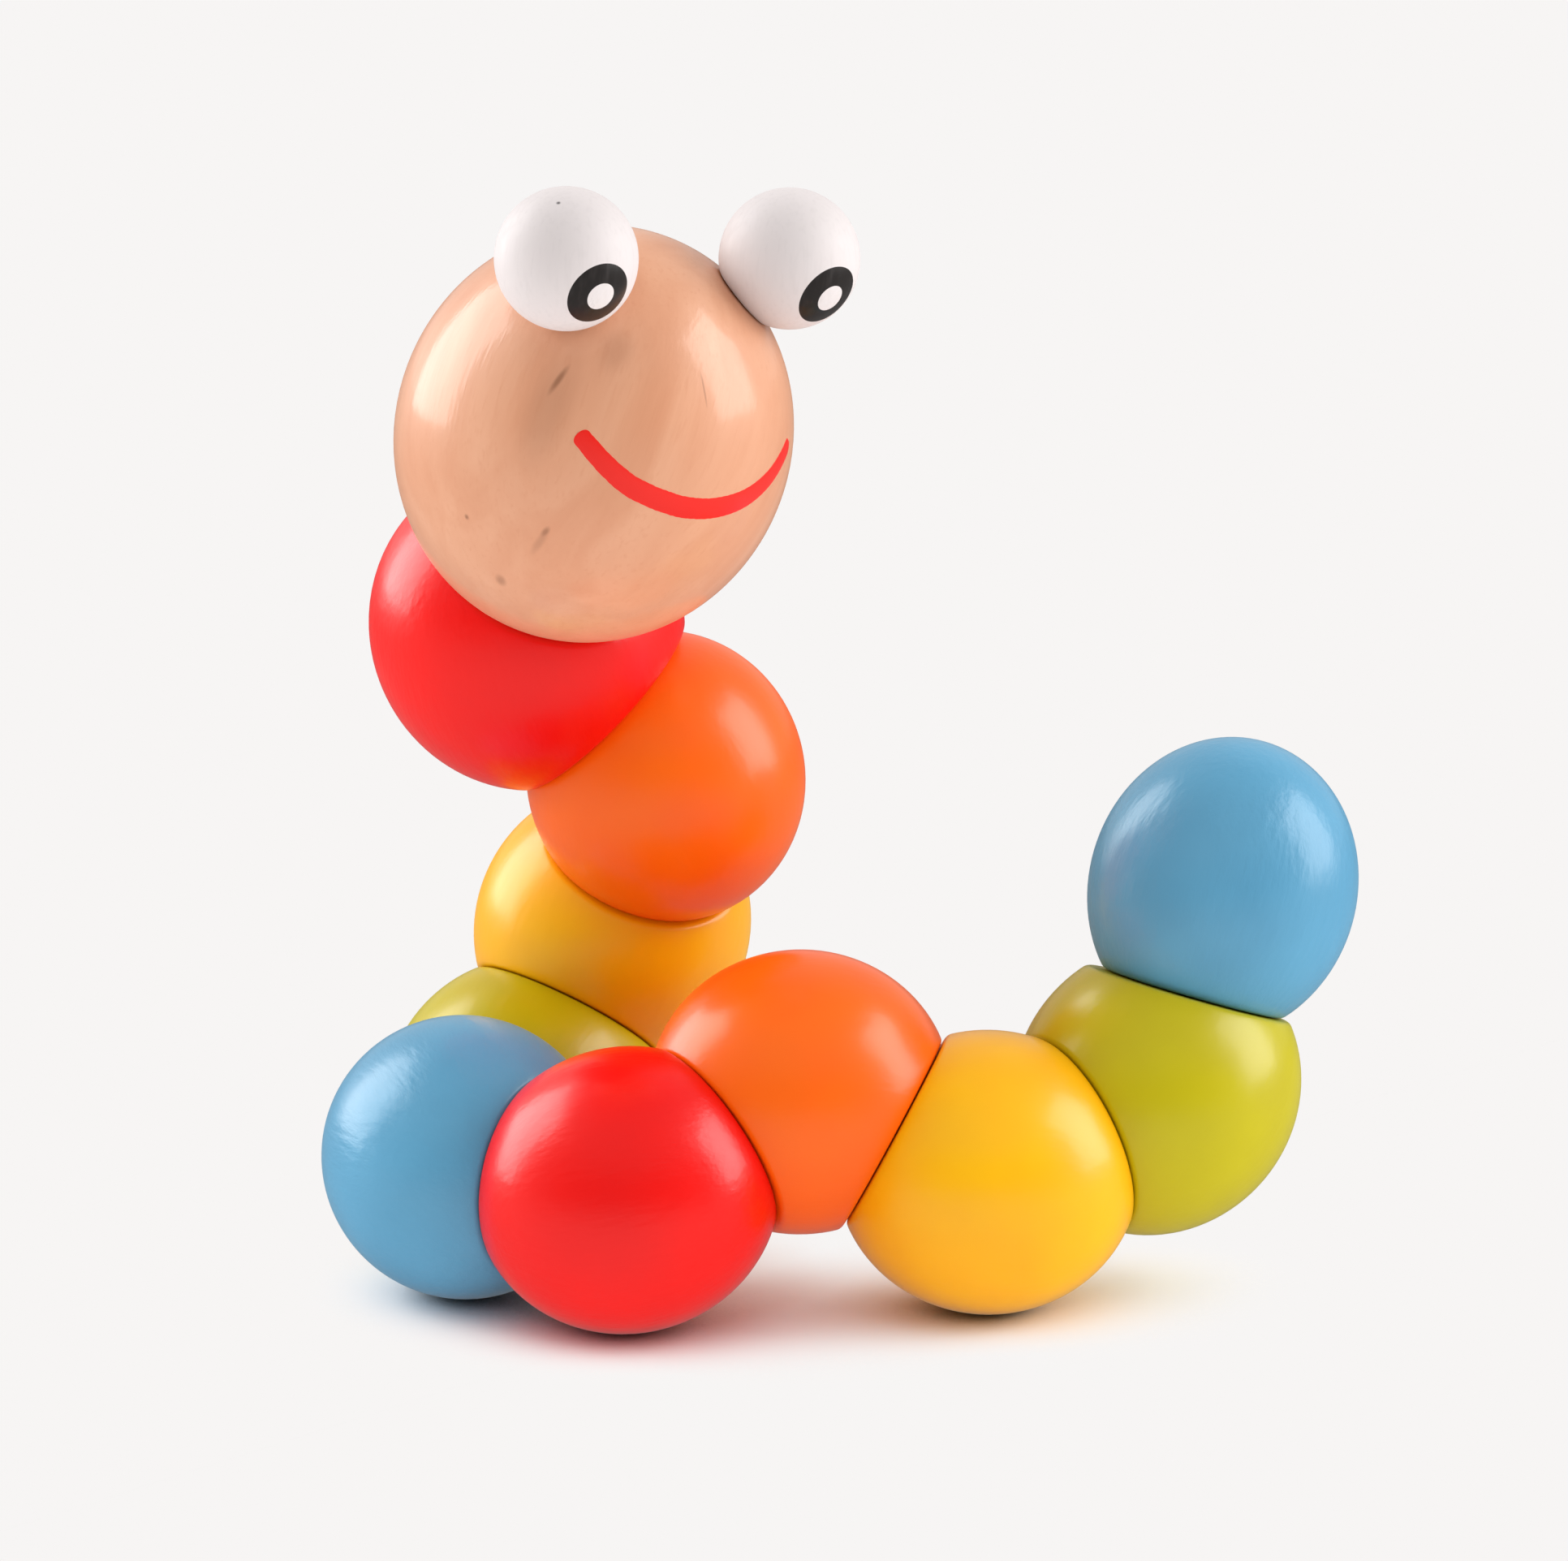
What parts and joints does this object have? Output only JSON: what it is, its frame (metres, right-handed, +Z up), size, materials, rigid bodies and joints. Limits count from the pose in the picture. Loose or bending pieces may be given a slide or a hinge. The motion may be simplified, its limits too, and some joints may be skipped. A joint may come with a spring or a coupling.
{
  "type": "wooden inchworm toy",
  "caption": "Wooden inchworm toy: a ball head with ball eyes and a chain of wedge-cut painted beads that swivel on hidden pins, so the worm bends and stands by itself.",
  "frame": {"origin": "middle of the standing worm's box, on the surface it stands on", "axes": "+Z up; +X towards the raised tail; the picture looks along +Y; the face looks towards -Y and +X"},
  "size_m": [0.1028, 0.0667, 0.1139],
  "materials": {
    "lacquered_wood": "clear lacquer, glossy",
    "red_paint": "gloss paint",
    "orange_paint": "gloss paint",
    "yellow_paint": "gloss paint",
    "green_paint": "gloss paint",
    "blue_paint": "gloss paint",
    "white_paint": "gloss paint",
    "bare_wood": "unpainted"
  },
  "bodies": {
    "head": {"head": "lacquered_wood", "eye_left": "white_paint", "eye_right": "white_paint", "dowel_left": "bare_wood", "dowel_right": "bare_wood", "pin_01": "bare_wood"},
    "bead_1": {"seg_01_red": "red_paint", "pin_02": "bare_wood"},
    "bead_2": {"seg_02_orange": "orange_paint", "pin_03": "bare_wood"},
    "bead_3": {"seg_03_yellow": "yellow_paint", "pin_04": "bare_wood"},
    "bead_4": {"seg_04_green": "green_paint", "pin_05": "bare_wood"},
    "bead_5": {"seg_05_blue": "blue_paint", "pin_06": "bare_wood"},
    "bead_6": {"seg_06_red": "red_paint", "pin_07": "bare_wood"},
    "bead_7": {"seg_07_orange": "orange_paint", "pin_08": "bare_wood"},
    "bead_8": {"seg_08_yellow": "yellow_paint", "pin_09": "bare_wood"},
    "bead_9": {"seg_09_green": "green_paint", "pin_10": "bare_wood"},
    "bead_10": {"seg_10_blue": "blue_paint"}
  },
  "joints": [
    {"name": "swivel_01", "type": "hinge", "parent": "bead_1", "child": "head", "pos_m": [-0.02896, 0.00296, 0.07301], "axis": [0.2763, -0.5698, 0.7739], "continuous": true},
    {"name": "swivel_02", "type": "hinge", "parent": "bead_2", "child": "bead_1", "pos_m": [-0.02386, 0.01059, 0.05552], "axis": [-0.7076, -0.0744, 0.7027], "continuous": true},
    {"name": "swivel_03", "type": "hinge", "parent": "bead_3", "child": "bead_2", "pos_m": [-0.01964, 0.01598, 0.03902], "axis": [-0.3115, 0.4309, -0.8469], "range_deg": [-85, 180]},
    {"name": "swivel_04", "type": "hinge", "parent": "bead_4", "child": "bead_3", "pos_m": [-0.02748, 0.01626, 0.02175], "axis": [0.4376, 0.4037, 0.8034], "range_deg": [-180, 45]},
    {"name": "swivel_05", "type": "hinge", "parent": "bead_5", "child": "bead_4", "pos_m": [-0.0353, 0.0019, 0.01365], "axis": [-0.301, -0.9528, 0.0393], "range_deg": [-10, 180]},
    {"name": "swivel_06", "type": "hinge", "parent": "bead_6", "child": "bead_5", "pos_m": [-0.02969, -0.01443, 0.01388], "axis": [-0.8231, 0.5676, 0.0179], "continuous": true},
    {"name": "swivel_07", "type": "hinge", "parent": "bead_6", "child": "bead_7", "pos_m": [-0.01251, -0.01579, 0.01828], "axis": [0.788, 0.4408, 0.4298], "range_deg": [-130, 85]},
    {"name": "swivel_08", "type": "hinge", "parent": "bead_7", "child": "bead_8", "pos_m": [0.0052, -0.01248, 0.01797], "axis": [0.879, -0.1293, -0.459], "continuous": true},
    {"name": "swivel_09", "type": "hinge", "parent": "bead_8", "child": "bead_9", "pos_m": [0.0233, -0.00895, 0.01616], "axis": [0.8381, 0.4634, 0.2879], "continuous": true},
    {"name": "swivel_10", "type": "hinge", "parent": "bead_9", "child": "bead_10", "pos_m": [0.03499, -0.00198, 0.02907], "axis": [0.2742, 0.2004, 0.9406], "continuous": true}
  ]
}
